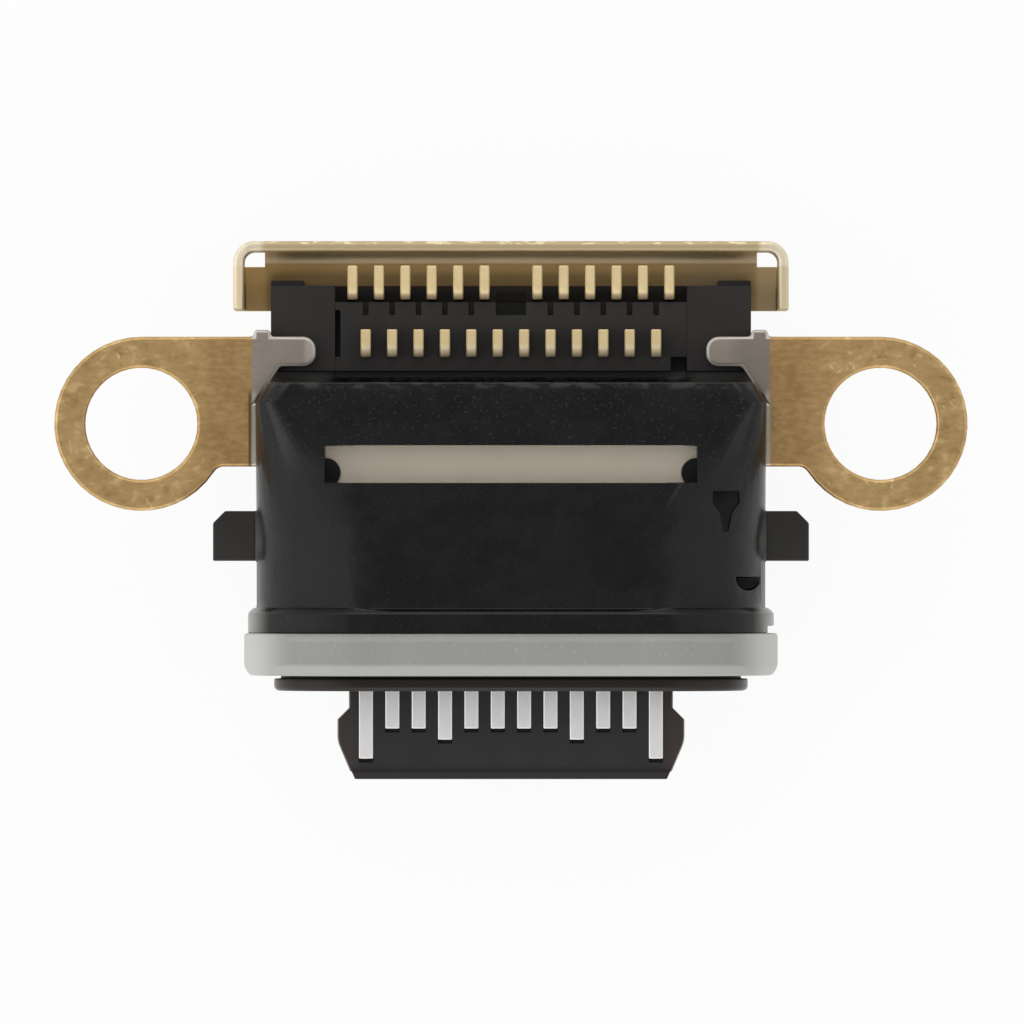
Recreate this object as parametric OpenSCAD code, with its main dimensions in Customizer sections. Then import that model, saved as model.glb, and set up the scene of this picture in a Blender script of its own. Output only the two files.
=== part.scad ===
// Sealed 24-contact charging port with two screw ears and a row of solder tails behind it.
// Millimetres. +Y points to the tails, -Y to the plug, +Z to the board that carries the port.
// The origin lies midway between the ear holes, on the ears' upper face: the solder plane.

/* [Contacts] */
// Spacing of the contacts in a row
contact_pitch = 0.5; // [0.47:0.01:0.55]
// Thickness of the contact strip
contact_t = 0.15; // [0.1:0.01:0.18]
// Width of a pad on the tongue
pad_w = 0.27; // [0.2:0.01:0.32]
// Width of the strip and of its solder tail
tail_w = 0.2; // [0.14:0.01:0.24]
// Inner radius of the bends
bend_r = 0.08; // [0.04:0.01:0.1]
// Distance from the tongue's tip to the end of a ground pad
ground_setback = 0.39; // [0.25:0.01:0.6]
// Distance from the tongue's tip to the end of a power pad
power_setback = 0.75; // [0.5:0.01:0.95]
// Distance from the tongue's tip to the end of a signal pad
signal_setback = 0.96; // [0.7:0.01:1.2]
// Length of a tail of the inner row
inner_tail_l = 0.525; // [0.4:0.005:0.7]
// Length of a tail of the rear row
rear_tail_l = 0.64; // [0.4:0.01:0.8]
// Height of the solder plane over the plug axis
solder_h = 0.95; // [0.85:0.01:1.2]

/* [Tongue] */
// Thickness of the tongue over its pads
tongue_t = 0.7; // [0.66:0.01:0.8]
// How far the pads stand above the plastic
pad_proud = 0.02; // [0.01:0.005:0.04]
// Plastic beside the outermost pad
tongue_edge = 0.16; // [0.1:0.01:0.3]
// How far the tip stands out of the nose
tongue_reach = 1.68; // [1.2:0.01:2.2]
// Length of the thin tongue, from its tip to the collar
tongue_l = 4.45; // [4:0.01:4.8]
// Radius of the shoulders where they turn in to the tip
shoulder_r = 0.6; // [0.4:0.05:1]
// Distance from the tip to the start of that turn
shoulder_l = 0.84; // [0.6:0.01:0.95]
// Angle of the straight flanks beside the tip
shoulder_turn = 23; // [15:1:30]
// Chamfer at the tip's upper and lower edge
tip_chamfer = 0.13; // [0.05:0.01:0.15]
// Length of the open pocket in front of a pad
pad_pocket_l = 0.07; // [0.03:0.01:0.12]
// Length of the collar at the root
collar_l = 0.55; // [0.4:0.01:0.7]
// How far the collar stands above the tongue's faces
collar_rise = 0.27; // [0.15:0.01:0.4]
// How far the collar stands beside the mid plate
collar_side = 0.35; // [0.2:0.01:0.6]

/* [Metal inside] */
// Thickness of the mid plate
plate_t = 0.15; // [0.1:0.01:0.2]
// How far the mid plate shows beside the tongue's plastic
plate_proud = 0.03; // [0.02:0.01:0.06]
// Distance from the tongue's tip to the mid plate
plate_setback = 0.14; // [0.05:0.01:0.3]
// Depth of the latch notches in the mid plate's sides
latch_depth = 0.22; // [0.15:0.01:0.3]
// Distance from the tongue's tip to the latch notches
latch_setback = 1.13; // [1:0.01:1.4]
// Distance from the mid plate's rear end to the rear row of tails
plate_rear_gap = 0.45; // [0.2:0.01:0.8]
// Thickness of the ground plates on the collar
ground_t = 0.12; // [0.08:0.01:0.15]
// Distance from a ground plate to the collar's sides
ground_inset = 0.2; // [0.1:0.01:0.5]
// Wall of the inner shell
shell_wall = 0.15; // [0.1:0.01:0.2]
// Diameter of the lock holes in the inner shell, and of the block's posts that fill them
lock_d = 0.54; // [0.3:0.01:0.6]

/* [Plug opening] */
// Room beside the tongue
side_room = 0.875; // [0.7:0.005:1]
// Room above and below the tongue
face_room = 0.93; // [0.8:0.01:1.1]
// Gap between the tongue's root and the inner shell
root_gap = 0.01; // [0.005:0.005:0.03]
// Wall of the nose lip round the opening
nose_wall = 0.33; // [0.25:0.01:0.4]
// Length of the nose lip
lip_l = 0.23; // [0.15:0.01:0.4]
// Chamfer at the nose lip's front edge
lip_chamfer = 0.06; // [0.03:0.01:0.12]

/* [Gasket] */
// Wall of the spigot under the gasket
spigot_wall = 0.2; // [0.18:0.01:0.22]
// Thickness of the gasket ring
gasket_t = 0.695; // [0.66:0.005:0.8]
// Width of the gasket along the plug axis
gasket_w = 0.8; // [0.6:0.01:1]
// Play between the gasket and the nose lip
gasket_play = 0.06; // [0.02:0.01:0.1]
// Length of the gasket's lead-in slope
gasket_lead = 0.17; // [0.1:0.01:0.25]
// Height of the gasket's lead-in slope
gasket_lead_h = 0.1; // [0.05:0.01:0.2]

/* [Housing] */
// Wall of the block beside the plug opening
body_side = 0.66; // [0.6:0.01:0.9]
// Wall of the block above and below the plug opening
body_face = 0.8; // [0.7:0.01:0.82]
// Length of the block from its rear face to the flange
block_l = 4.27; // [4:0.01:4.6]
// Distance from the ear holes' line to the block's rear face
block_rear = 0.78; // [0.6:0.01:1]
// Corner radius of the block's rear end
rear_r = 0.45; // [0.3:0.01:0.7]
// Length over which the block's corners round off
sweep_l = 2.95; // [2.5:0.05:3.3]
// Width of the rounded corners at the block's front end
sweep_w = 2.6; // [2:0.05:2.8]
// Width of the chamfer at the block's rear corners
corner_w = 0.25; // [0.2:0.01:0.4]
// Length of the chamfer at the block's rear corners
corner_l = 0.38; // [0.3:0.01:0.6]
// Drop of the block's faces at their rear edge
rear_drop = 0.08; // [0.03:0.01:0.15]
// Wall of the flange round the plug opening
flange_wall = 0.825; // [0.8:0.005:1]
// Length of the flange
flange_l = 0.48; // [0.3:0.01:0.7]
// Slope at the flange's rear edge
flange_chamfer = 0.1; // [0.05:0.01:0.2]
// Width of the nick at the flange's right end
nick_w = 0.13; // [0.08:0.01:0.2]
// Length of the nick at the flange's right end
nick_l = 0.14; // [0.08:0.01:0.2]
// Plastic in front of the inner shell, inside the flange
shell_stop = 0.16; // [0.1:0.01:0.3]
// Length of the rear mouth that the carriers pass through
mouth_l = 0.93; // [0.8:0.01:1.05]
// How far the side lugs stand out of the block
lug_reach = 0.83; // [0.5:0.01:1.2]
// Length of a side lug
lug_l = 0.95; // [0.6:0.01:1.4]
// Thickness of a side lug
lug_t = 1; // [0.6:0.01:1.2]
// Chamfer at a side lug's rear corner
lug_chamfer = 0.23; // [0.1:0.01:0.4]
// Distance from the block's rear face to the side lugs
lug_setback = 2.43; // [1.8:0.01:2.8]

/* [Window] */
// Width of the slot window over the inner shell
window_w = 7.04; // [6:0.01:7.4]
// Length of the slot window
window_l = 0.71; // [0.5:0.01:1]
// Distance from the block's rear face to the slot window
window_setback = 1.19; // [1.1:0.01:1.4]
// Distance from a lock post's centre to the end of the slot window
lock_inset = 0.02; // [0:0.01:0.15]
// Distance from a lock post's centre to the window's front edge
lock_lift = 0.19; // [0.1:0.01:0.4]
// How far the lock posts stand above the inner shell's crown
lock_rise = 0.12; // [0.05:0.01:0.3]

/* [Gate recess] */
// Width of the gate recess on the block's flank
gate_w = 0.5; // [0.3:0.01:0.7]
// Length of the gate recess
gate_l = 0.22; // [0.15:0.01:0.4]
// Length over which the gate recess narrows
gate_taper = 0.2; // [0.1:0.01:0.3]
// Width of the runner mark in front of the gate recess
runner_w = 0.22; // [0.15:0.01:0.35]
// Width of the runner mark at its end
runner_end = 0.1; // [0.05:0.01:0.15]
// Length of the runner mark
runner_l = 0.34; // [0.2:0.01:0.6]
// Depth of the gate recess below the block's face
gate_depth = 0.62; // [0.5:0.01:0.7]
// Distance from the gate recess to the block's side
gate_inset = 0.52; // [0.4:0.01:0.8]
// Distance from the block's rear face to the gate recess
gate_setback = 2.05; // [1.9:0.01:2.4]

/* [Flank notch] */
// Radius of the half-round notch on the block's right flank, beside the flange
notch_r = 0.25; // [0.15:0.01:0.28]
// Depth of the flank notch below the block's face
notch_depth = 1.5; // [1.3:0.01:1.55]
// Distance from the flank notch to the block's side
notch_inset = 0.09; // [0.05:0.01:0.2]
// Distance from the block's rear face to the flank notch
notch_setback = 3.68; // [3.5:0.01:3.75]

/* [Screw ears] */
// Distance from the block's side to the hole's centre
ear_reach = 2.17; // [2:0.01:2.6]
// Diameter of the screw hole
ear_hole_d = 2.12; // [1.6:0.01:2.2]
// Width of the ring round the screw hole
ear_ring = 0.59; // [0.5:0.01:0.7]
// Thickness of the ear plate
ear_t = 0.25; // [0.15:0.01:0.3]
// Distance from the hole's centre to the neck's front edge
neck_low = 0.81; // [0.5:0.01:1]
// Radius of the fillet between the neck and the ring
neck_fillet = 0.22; // [0.1:0.01:0.4]
// How far the ear plate is moulded into the block
ear_embed = 0.55; // [0.45:0.01:0.6]
// Width of the bare strip between the block's side and the plating
bare_w = 0.08; // [0.03:0.01:0.15]
// How far the bare root lies below the plated face
root_drop = 0.02; // [0.01:0.005:0.05]
// Width of the stub where the ear was cut from its strip
stub_w = 0.32; // [0.2:0.01:0.5]
// How far the stub stands out behind the ear
stub_l = 0.13; // [0.05:0.01:0.2]
// Length of the finger tab that lies on the deck
finger_l = 0.88; // [0.6:0.01:1]
// Width of the finger tab
finger_w = 0.56; // [0.4:0.01:0.62]
// Corner radius of the finger tab
finger_r = 0.24; // [0.1:0.01:0.25]

/* [Rear deck] */
// Length of the deck behind the block
deck_l = 1.84; // [1.7:0.01:2.2]
// Distance from the block's side to the deck's side
deck_inset = 0.28; // [0.1:0.01:0.5]
// Plastic over and under the strips inside the block
carrier_cover = 0.25; // [0.18:0.01:0.35]
// Plastic beside the outermost strip of the rear row
carrier_edge = 0.23; // [0.15:0.01:0.3]
// Plastic over the strips in the trench behind the block
strip_cover = 0.06; // [0.03:0.01:0.12]
// Height of the comb above the trench
comb_rise = 0.29; // [0.2:0.01:0.32]
// Width of the trench behind the block
trench_l = 0.22; // [0.15:0.01:0.3]
// Width of the side slot at the comb's left end
side_slot_w = 0.1; // [0.05:0.01:0.12]
// Length of the side slot
side_slot_l = 0.89; // [0.6:0.01:1]
// Depth of the side slot
side_slot_h = 0.3; // [0.1:0.01:0.4]
// Width of the rib at each end of the deck's rear face
rib_w = 0.62; // [0.3:0.01:0.8]
// How far the ribs stand out of the deck's rear face
rib_l = 0.1; // [0.05:0.01:0.2]
// Distance from the ribs' top to the deck's top
rib_drop = 0.3; // [0.1:0.01:0.5]
// Distance from the block's rear face to the inner row of tails
inner_row = 0.485; // [0.42:0.005:0.6]
// Distance from the rear row of tails to the deck's rear face
rear_sill = 0.26; // [0.2:0.01:0.4]
// Gap between the comb and the rear row of tails
comb_gap = 0.05; // [0.03:0.01:0.1]
// Width of the slots between the comb's teeth
comb_slot_w = 0.1; // [0.06:0.01:0.16]
// Length of the slots between the comb's teeth
comb_slot_l = 0.25; // [0.15:0.01:0.35]
// Depth of the slots between the comb's teeth
comb_slot_h = 0.2; // [0.1:0.01:0.4]
// Width of the notch in the middle of the comb
comb_notch_w = 0.56; // [0.4:0.01:0.7]
// Depth of the notch in the middle of the comb
comb_notch_h = 0.5; // [0.2:0.01:0.6]
// Width of the key pocket at the comb's right end
key_w = 0.3; // [0.2:0.01:0.36]
// Length of the key pocket
key_l = 0.34; // [0.2:0.01:0.4]
// Radius of the sealing bead in the trench, against the block's rear face
bead_r = 0.13; // [0.06:0.01:0.14]

/* [Rear shield] */
// Thickness of the shield
shield_t = 0.2; // [0.15:0.01:0.22]
// Gap between the deck's sides and the shield's side walls
shield_side = 0.51; // [0.45:0.01:0.7]
// Gap between the deck's rear face and the shield's rear wall
shield_back = 0.64; // [0.55:0.01:0.9]
// Length of the shield's side walls
shield_wall_l = 1.31; // [1:0.01:1.5]
// Outer radius of the shield's upright corners
shield_corner_r = 0.4; // [0.3:0.01:0.45]
// Inner radius of the bend under the rear wall
shield_bend = 0.17; // [0.08:0.01:0.2]
// Length of the relief hole in each corner of the floor
relief_l = 0.27; // [0.22:0.01:0.4]
// Width of the relief hole in each corner of the floor
relief_w = 0.38; // [0.3:0.01:0.5]
// How far the floor reaches into the block
floor_tuck = 0.4; // [0.2:0.01:0.6]
// Distance from the block's side to the floor's tongue
floor_inset = 0.52; // [0.4:0.01:0.8]

/* [Hidden] */
$fn = 64;
pins = 12;
power_pins = [4, 9];
arc_steps = 12;
over = 0.1;
slice = 0.02;

row_half = (pins - 1) / 2 * contact_pitch;
tongue_half = row_half + pad_w / 2 + tongue_edge;
plate_half = tongue_half + plate_proud;
latch_half = plate_half + latch_depth;
strip_top = tongue_t / 2;
plastic_top = strip_top - pad_proud;
collar_half = plate_half + collar_side;
collar_top = strip_top + collar_rise;
plate_top = plate_t / 2;

cavity_half = latch_half + side_room;
cavity_r = strip_top + face_room;
flat_half = cavity_half - cavity_r;
shell_r = cavity_r + shell_wall;
nose_r = cavity_r + nose_wall;
spigot_r = cavity_r + spigot_wall;
gasket_r = spigot_r + gasket_t;
flange_r = cavity_r + flange_wall;
body_half = cavity_half + body_side;
body_top = cavity_r + body_face;
core_r = cavity_r / 2;

flange_rear = block_rear - block_l;
flange_front = flange_rear - flange_l;
gasket_front = flange_front - gasket_w;
lip_rear = gasket_front - gasket_play;
nose_front = lip_rear - lip_l;
tip_y = nose_front - tongue_reach;
collar_y = tip_y + tongue_l;
back_y = collar_y + collar_l;
shell_front = flange_front + shell_stop;
mouth_front = block_rear - mouth_l;
sweep_y = block_rear - sweep_l;
window_rear = block_rear - window_setback;
window_front = window_rear - window_l;
lug_rear = block_rear - lug_setback;
gate_rear = block_rear - gate_setback;

deck_half = body_half - deck_inset;
deck_rear = block_rear + deck_l;
deck_top = solder_h - ear_t;
deck_bottom = -strip_top - carrier_cover;
neck_top = strip_top + carrier_cover;
neck_half = row_half + contact_pitch / 2 + tail_w / 2 + carrier_edge;
trench_rear = block_rear + trench_l;
trench_top = strip_top + strip_cover;
comb_top = trench_top + comb_rise;
inner_leg = block_rear + inner_row;
rear_leg = deck_rear - rear_sill;
comb_rear = rear_leg - comb_gap;
plate_rear = rear_leg - plate_rear_gap;

ear_x = body_half + ear_reach;
ear_r = ear_hole_d / 2 + ear_ring;
ear_in = body_half - ear_embed;
finger_x = body_half - corner_w - finger_l;

wall_half = deck_half + shield_side;
wall_rear = deck_rear + shield_back;
wall_front = wall_rear + shield_t - shield_wall_l;
floor_half = body_half - floor_inset;
relief_half = wall_half - relief_w;
relief_front = wall_rear - relief_l;
bend_top = deck_bottom + shield_bend;

gold = "#93774f";
tail_gold = "#d9c08f";
pad_silver = "#c8c8c8";
black = "#1f1f1f";
deck_black = "#323232";
steel = "#9e9484";
rubber = "#98998f";

row_names = [for (row = ["a", "b"]) for (i = [1:pins]) str("contact_", row, i)];

// Points of an arc round a centre, from one angle to another
function arc(centre, r, from, to) =
    [for (k = [0:arc_steps])
        let (a = from + (to - from) * k / arc_steps)
        centre + r * [cos(a), sin(a)]];

// Outline of a rectangle with round corners, by its half sizes and the corners' width and height
function round_rect(half_w, half_h, corner) = [
    for (start = [0:90:270], k = [0:arc_steps])
        let (
            a = start + 90 * k / arc_steps,
            middle = start + 45
        )
        [
            sign(cos(middle)) * (half_w - corner.x) + corner.x * cos(a),
            sign(sin(middle)) * (half_h - corner.y) + corner.y * sin(a)
        ]
];

// The same points on the other side of the middle, in reverse order
function mirrored(points) =
    [for (k = [len(points) - 1:-1:0]) [-points[k].x, points[k].y]];

// Right half of the tongue's plan, from its rear end to its tip
function tongue_side(neck, latch, front, rear) =
    let (
        notch_y = tip_y + latch_setback,
        turn = arc([latch - shoulder_r, tip_y + shoulder_l], shoulder_r, 0, -shoulder_turn),
        last = turn[arc_steps]
    )
    concat(
        [[neck, rear], [neck, notch_y + latch - neck], [latch, notch_y]],
        turn,
        [[last.x - (last.y - front) * tan(shoulder_turn), front]]
    );

// Place of a contact in its row, and of its tail
function pad_x(i) = (i - (pins + 1) / 2) * contact_pitch;
function tail_x(i, face) = face > 0 ? pad_x(i) : pad_x(i) + sign(pad_x(i)) * contact_pitch / 2;
function pad_end(i) = tip_y + (
    i == 1 || i == pins ? ground_setback
    : len(search(i, power_pins)) > 0 ? power_setback
    : signal_setback
);

// Everything is drawn about the plug axis, and lowered so that the solder plane is at zero
module in_frame() {
    translate([0, 0, -solder_h])
        children();
}

// A box given by the ends of its three sides
module box(x, y, z) {
    translate([x[0], y[0], z[0]])
        cube([x[1] - x[0], y[1] - y[0], z[1] - z[0]]);
}

// A box that is centred on the middle plane
module mid_box(half, y, z) {
    box([-half, half], y, z);
}

// A pair of boxes on both sides of the middle plane
module side_boxes(x, y, z) {
    for (side = [0, 1])
        mirror([side, 0, 0])
            box(x, y, z);
}

// A profile of [radius, y] points swept round the plug opening's outline
module around_plug(profile) {
    for (side = [-1, 1])
        translate([side * flat_half, 0, 0])
            rotate([-90, 0, 0])
                rotate([0, 0, -90 * side])
                    rotate_extrude(angle = 180)
                        polygon(profile);
    for (face = [-1, 1])
        rotate([0, -90 * face, 0])
            linear_extrude(2 * flat_half, center = true)
                polygon(profile);
}

// A solid bar with the plug opening's outline, grown or shrunk to a radius
module plug_bar(r, front, rear) {
    translate([0, rear, 0])
        rotate([90, 0, 0])
            linear_extrude(rear - front) {
                square([2 * flat_half, 2 * r], center = true);
                for (side = [-1, 1])
                    translate([side * flat_half, 0])
                        circle(r);
            }
}

// A side view of [y, z] shapes, drawn out across the width
module across(width) {
    rotate([90, 0, 90])
        linear_extrude(width, center = true)
            children();
}

// A quarter of a ring in the first quadrant
module quarter_ring(inner, thick) {
    intersection() {
        difference() {
            circle(inner + thick);
            circle(inner);
        }
        square(inner + thick);
    }
}

// A rectangle given by two opposite corners
module rect(from, to) {
    translate(from)
        square(to - from);
}

// A length of the block with one outline, given by its rear plane
module body_slice(rear, length, half_w, half_h, corner) {
    translate([0, rear, 0])
        rotate([90, 0, 0])
            linear_extrude(length)
                polygon(round_rect(half_w, half_h, corner));
}

// The block: boxy at the rear, rounding off, then even up to the flange
module body_loft() {
    rear_corner = [rear_r, rear_r];
    front_corner = [sweep_w, body_top];
    hull() {
        body_slice(block_rear, slice, body_half - corner_w, body_top - rear_drop, rear_corner);
        body_slice(block_rear - corner_l, slice, body_half, body_top, rear_corner);
        body_slice(sweep_y, slice, body_half, body_top, front_corner);
    }
    body_slice(sweep_y, sweep_y - flange_rear + slice, body_half, body_top, front_corner);
}

// Plan of a side lug on the right
module lug_plan() {
    lug_half = body_half + lug_reach;
    lug_front = lug_rear - lug_l;
    polygon([
        [ear_in, lug_front],
        [lug_half, lug_front],
        [lug_half, lug_rear - lug_chamfer],
        [lug_half - lug_chamfer, lug_rear],
        [ear_in, lug_rear]
    ]);
}

// Side lugs, under the block's widest line
module lugs() {
    for (side = [0, 1])
        mirror([side, 0, 0])
            translate([0, 0, -lug_t])
                linear_extrude(lug_t)
                    lug_plan();
}

// Lip, gasket groove and flange, as one profile round the opening
module nose() {
    around_plug([
        [core_r, nose_front],
        [nose_r - lip_chamfer, nose_front],
        [nose_r, nose_front + lip_chamfer],
        [nose_r, lip_rear],
        [spigot_r, lip_rear],
        [spigot_r, flange_front],
        [flange_r, flange_front],
        [flange_r, flange_rear - flange_chamfer],
        [flange_r - flange_chamfer, flange_rear],
        [core_r, flange_rear]
    ]);
}

// Space that the carriers and the shield's floor take in the rear mouth
module mouth() {
    mid_box(neck_half, [mouth_front - over, block_rear + over], [deck_bottom, neck_top]);
    mid_box(floor_half, [block_rear - floor_tuck, block_rear + over], [deck_bottom - shield_t, deck_bottom]);
}

// Gate recess with its runner mark, on the right flank of the block
module gate_recess() {
    right = body_half - gate_inset;
    middle = right - gate_w / 2;
    taper_y = gate_rear - gate_l;
    runner_y = taper_y - gate_taper;
    end_y = runner_y - runner_l;
    translate([0, 0, body_top - gate_depth])
        linear_extrude(gate_depth + over)
            polygon([
                [right - gate_w, gate_rear],
                [right - gate_w, taper_y],
                [middle - runner_w / 2, runner_y],
                [middle - runner_end / 2, end_y],
                [middle + runner_end / 2, end_y],
                [middle + runner_w / 2, runner_y],
                [right, taper_y],
                [right, gate_rear]
            ]);
}

// Nick in the right end of the flange, against the gasket
module flange_nick() {
    end = flat_half + flange_r;
    box([end - nick_w, end + over], [flange_front - over, flange_front + nick_l], [-body_top, body_top]);
}

// Notch on the right flank of the block, beside the flange
module flank_notch() {
    middle = [body_half - notch_inset - notch_r, block_rear - notch_setback];
    translate([0, 0, body_top - notch_depth])
        linear_extrude(notch_depth + over)
            polygon(arc(middle, notch_r, 180, 360));
}

// The block with the seats of the shell, the carriers and the ears
module block() {
    difference() {
        union() {
            body_loft();
            nose();
            lugs();
        }
        plug_bar(shell_r, shell_front, mouth_front);
        mouth();
        mid_box(window_w / 2, [window_front, window_rear], [core_r, body_top + over]);
        gate_recess();
        flank_notch();
        flange_nick();
        ear_pair();
    }
}

// Round pins at the window's front corners, up to a height
module lock_pins(top) {
    for (side = [-1, 1])
        translate([side * (window_w / 2 - lock_inset), window_front + lock_lift, core_r])
            cylinder(h = top - core_r, d = lock_d);
}

module outer_housing() {
    color(black)
    in_frame()
        difference() {
            union() {
                block();
                lock_pins(shell_r + lock_rise);
            }
            plug_bar(cavity_r, nose_front - over, mouth_front);
        }
}

// The shell's tube, with a flat land that fills the floor of the window
module inner_shell() {
    color(steel)
    in_frame()
        difference() {
            union() {
                plug_bar(shell_r, shell_front, mouth_front);
                mid_box(window_w / 2, [window_front, window_rear], [core_r, shell_r]);
            }
            plug_bar(cavity_r, shell_front - over, mouth_front + over);
            lock_pins(body_top);
        }
}

module gasket() {
    color(rubber)
    in_frame()
        around_plug([
            [spigot_r, gasket_front],
            [gasket_r - gasket_lead_h, gasket_front],
            [gasket_r, gasket_front + gasket_lead],
            [gasket_r, flange_front],
            [spigot_r, flange_front]
        ]);
}

// Fillet between the ear's ring and the front edge of its neck
module neck_blend() {
    low = neck_low + neck_fillet;
    reach = ear_r + neck_fillet;
    fillet = [ear_x - sqrt(reach * reach - low * low), -low];
    polygon(concat([[ear_x, 0]], arc(fillet, neck_fillet, 90, asin(low / reach))));
}

// Plan of the right ear: ring, neck, stub, finger tab and the part moulded into the block
module ear_plan() {
    finger_low = ear_r - finger_w;
    root_x = body_half - corner_w - (finger_low - block_rear) * corner_w / corner_l;
    difference() {
        union() {
            translate([ear_x, 0])
                circle(ear_r);
            polygon(concat(
                [
                    [ear_in, -neck_low],
                    [ear_x, -neck_low],
                    [ear_x, ear_r]
                ],
                arc([finger_x + finger_r, ear_r - finger_r], finger_r, 90, 180),
                arc([finger_x + finger_r, finger_low + finger_r], finger_r, 180, 270),
                [
                    [root_x, finger_low],
                    [body_half, block_rear - corner_l],
                    [ear_in, block_rear - corner_l]
                ]
            ));
            neck_blend();
            rect([deck_half, ear_r - over], [deck_half + stub_w, ear_r + stub_l]);
        }
        translate([ear_x, 0])
            circle(d = ear_hole_d);
    }
}

// The right ear, with its bare root coined a little lower
module ear_plate() {
    difference() {
        translate([0, 0, solder_h - ear_t])
            linear_extrude(ear_t)
                ear_plan();
        box(
            [0, body_half + bare_w],
            [-ear_r, ear_r + stub_l + over],
            [solder_h - root_drop, solder_h + over]
        );
    }
}

module ear_pair() {
    ear_plate();
    mirror([1, 0, 0])
        ear_plate();
}

module right_ear() {
    color(gold)
    in_frame()
        ear_plate();
}

module left_ear() {
    color(gold)
    in_frame()
        mirror([1, 0, 0])
            ear_plate();
}

// Side view of the shield's floor, its bend and its rear wall
module shield_side_view(front) {
    rect([front, deck_bottom - shield_t], [wall_rear - shield_bend, deck_bottom]);
    translate([wall_rear - shield_bend, bend_top])
        rotate(-90)
            quarter_ring(shield_bend, shield_t);
    rect([wall_rear, bend_top], [wall_rear + shield_t, solder_h]);
}

// Plan of a rounded corner, from the shield's middle to its front edge
module shield_plan(half, rear, r) {
    right = concat([[half, wall_front]], arc([half - r, rear - r], r, 0, 90));
    polygon(concat(right, mirrored(right)));
}

// The upright strip that runs round the back and both corners
module shield_strip() {
    translate([0, 0, bend_top])
        linear_extrude(solder_h - bend_top)
            difference() {
                shield_plan(wall_half + shield_t, wall_rear + shield_t, shield_corner_r);
                translate([0, -over])
                    rect([-wall_half, wall_front], [wall_half, wall_rear - shield_corner_r + over]);
                shield_plan(wall_half, wall_rear, shield_corner_r - shield_t);
            }
}

module rear_shield() {
    floor_z = [deck_bottom - shield_t, deck_bottom];
    color(gold)
    in_frame() {
        across(2 * relief_half)
            shield_side_view(wall_front);
        mid_box(floor_half, [block_rear - floor_tuck, wall_front + over], floor_z);
        side_boxes([relief_half - over, wall_half], [wall_front, relief_front], floor_z);
        side_boxes(
            [wall_half, wall_half + shield_t],
            [wall_front, relief_front],
            [deck_bottom - shield_t, solder_h]
        );
        shield_strip();
    }
}

// Side view of a contact's rear end: run, leg and tail with two bends
module formed_end(leg_y, run_top, tail_l) {
    run_start = mouth_front;
    tail_low = solder_h - contact_t;
    rear = leg_y + contact_t;
    rect([run_start, run_top - contact_t], [leg_y - bend_r, run_top]);
    translate([leg_y - bend_r, run_top + bend_r])
        rotate(-90)
            quarter_ring(bend_r, contact_t);
    rect([leg_y, run_top + bend_r], [rear, tail_low - bend_r]);
    translate([rear + bend_r, tail_low - bend_r])
        rotate(90)
            quarter_ring(bend_r, contact_t);
    rect([rear + bend_r, tail_low], [leg_y + tail_l, solder_h]);
}

// Plan of a contact's front end: its pad, and the run that steps over to the tail's place
module front_plan(i, face) {
    pad = pad_x(i);
    tail = tail_x(i, face);
    rect([pad - pad_w / 2, pad_end(i)], [pad + pad_w / 2, back_y]);
    polygon([
        [pad - tail_w / 2, back_y],
        [pad + tail_w / 2, back_y],
        [tail + tail_w / 2, mouth_front],
        [tail - tail_w / 2, mouth_front]
    ]);
}

// One contact; face is 1 on the tongue's board side and -1 on its far side
module contact(i, face) {
    run_top = face > 0 ? strip_top : contact_t - strip_top;
    leg_y = face > 0 ? inner_leg : rear_leg;
    tail_l = face > 0 ? inner_tail_l : rear_tail_l;
    translate([0, 0, run_top - contact_t])
        linear_extrude(contact_t)
            front_plan(i, face);
    translate([tail_x(i, face), 0, 0])
        across(tail_w)
            formed_end(leg_y, run_top, tail_l);
}

module contact_row(face) {
    for (i = [1:pins])
        contact(i, face);
}

// A finished contact, bright at its pad and its tail
module finished_contact(i, face) {
    color(face > 0 ? tail_gold : pad_silver)
    in_frame()
        contact(i, face);
}

module plate_solid() {
    right = tongue_side(plate_half, latch_half, tip_y + plate_setback, plate_rear);
    translate([0, 0, -plate_top])
        linear_extrude(plate_t)
            polygon(concat(right, mirrored(right)));
}

module mid_plate() {
    color(steel)
    in_frame()
        plate_solid();
}

// Open pockets in front of the pads, on one face of the tongue
module pad_pockets(face) {
    for (i = [1:pins])
        mirror([0, 0, face > 0 ? 0 : 1])
            box(
                [pad_x(i) - pad_w / 2, pad_x(i) + pad_w / 2],
                [pad_end(i) - pad_pocket_l, pad_end(i) + over],
                [strip_top - contact_t, strip_top]
            );
}

// What the chamfer takes off the tongue's tip, on one face
module tip_bevel(face) {
    low = plastic_top - tip_chamfer - over;
    high = plastic_top + over;
    mirror([0, 0, face > 0 ? 0 : 1])
        across(2 * latch_half)
            polygon([[tip_y - over, low], [tip_y + tip_chamfer + over, high], [tip_y - over, high]]);
}

module tongue() {
    right = tongue_side(tongue_half, latch_half - plate_proud, tip_y, back_y + over);
    color(deck_black)
    in_frame()
        difference() {
            union() {
                translate([0, 0, -plastic_top])
                    linear_extrude(2 * plastic_top)
                        polygon(concat(right, mirrored(right)));
                mid_box(collar_half, [collar_y, back_y + over], [-collar_top, collar_top]);
                plug_bar(cavity_r - root_gap, back_y, mouth_front);
            }
            plate_solid();
            for (face = [-1, 1]) {
                contact_row(face);
                pad_pockets(face);
                tip_bevel(face);
            }
        }
}

module ground_plate() {
    mid_box(collar_half - ground_inset, [collar_y, back_y], [collar_top, collar_top + ground_t]);
}

module upper_ground_plate() {
    color(steel)
    in_frame()
        ground_plate();
}

module lower_ground_plate() {
    color(steel)
    in_frame()
        mirror([0, 0, 1])
            ground_plate();
}

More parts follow.
